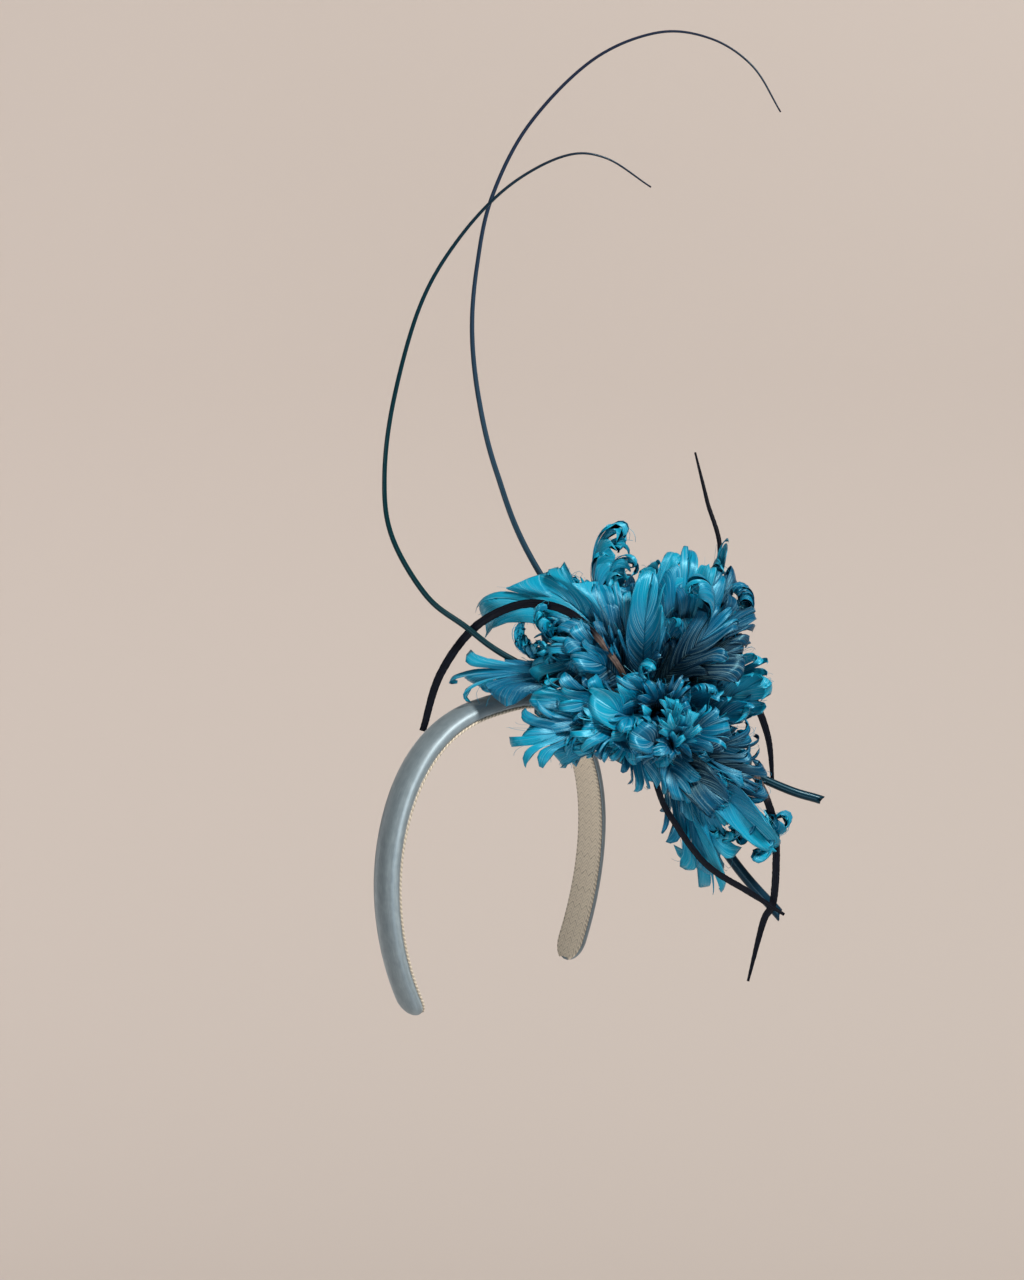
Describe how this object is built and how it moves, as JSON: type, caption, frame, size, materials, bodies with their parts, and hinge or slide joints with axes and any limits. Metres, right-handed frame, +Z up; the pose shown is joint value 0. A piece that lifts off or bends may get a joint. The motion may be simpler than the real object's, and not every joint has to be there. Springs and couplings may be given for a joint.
{
  "type": "feather headband",
  "caption": "Padded satin headband with a flower of curled teal feathers, long arching stripped quills and dark trimmed spines.",
  "frame": {"origin": "middle of the arch's inner face at its apex, where it sits on the crown of the head", "axes": "+Z up, +X towards the wearer's left, -Y towards the wearer's front; the arch lies in the plane Y = 0"},
  "size_m": [0.248, 0.1872, 0.4397],
  "materials": {
    "satin": "silver blue satin",
    "braid": "beige and silver twisted braid",
    "base_cloth": "teal stiffened cloth",
    "feather": "dyed peacock teal feather",
    "slate_quill": "dyed slate blue keratin, glossy",
    "teal_quill": "dyed deep teal keratin, glossy",
    "navy_spine": "dyed near black navy feather spine"
  },
  "bodies": {
    "root": {"headband": "satin", "lining_braid": "braid", "feather_base": "base_cloth", "feather_flower": "feather", "quill_tall": "slate_quill", "quill_low": "teal_quill", "navy_loop_left": "navy_spine", "navy_spike_up": "navy_spine", "navy_sweep_right": "navy_spine", "navy_tail_low": "navy_spine", "navy_sweep_low": "navy_spine"}
  },
  "joints": []
}
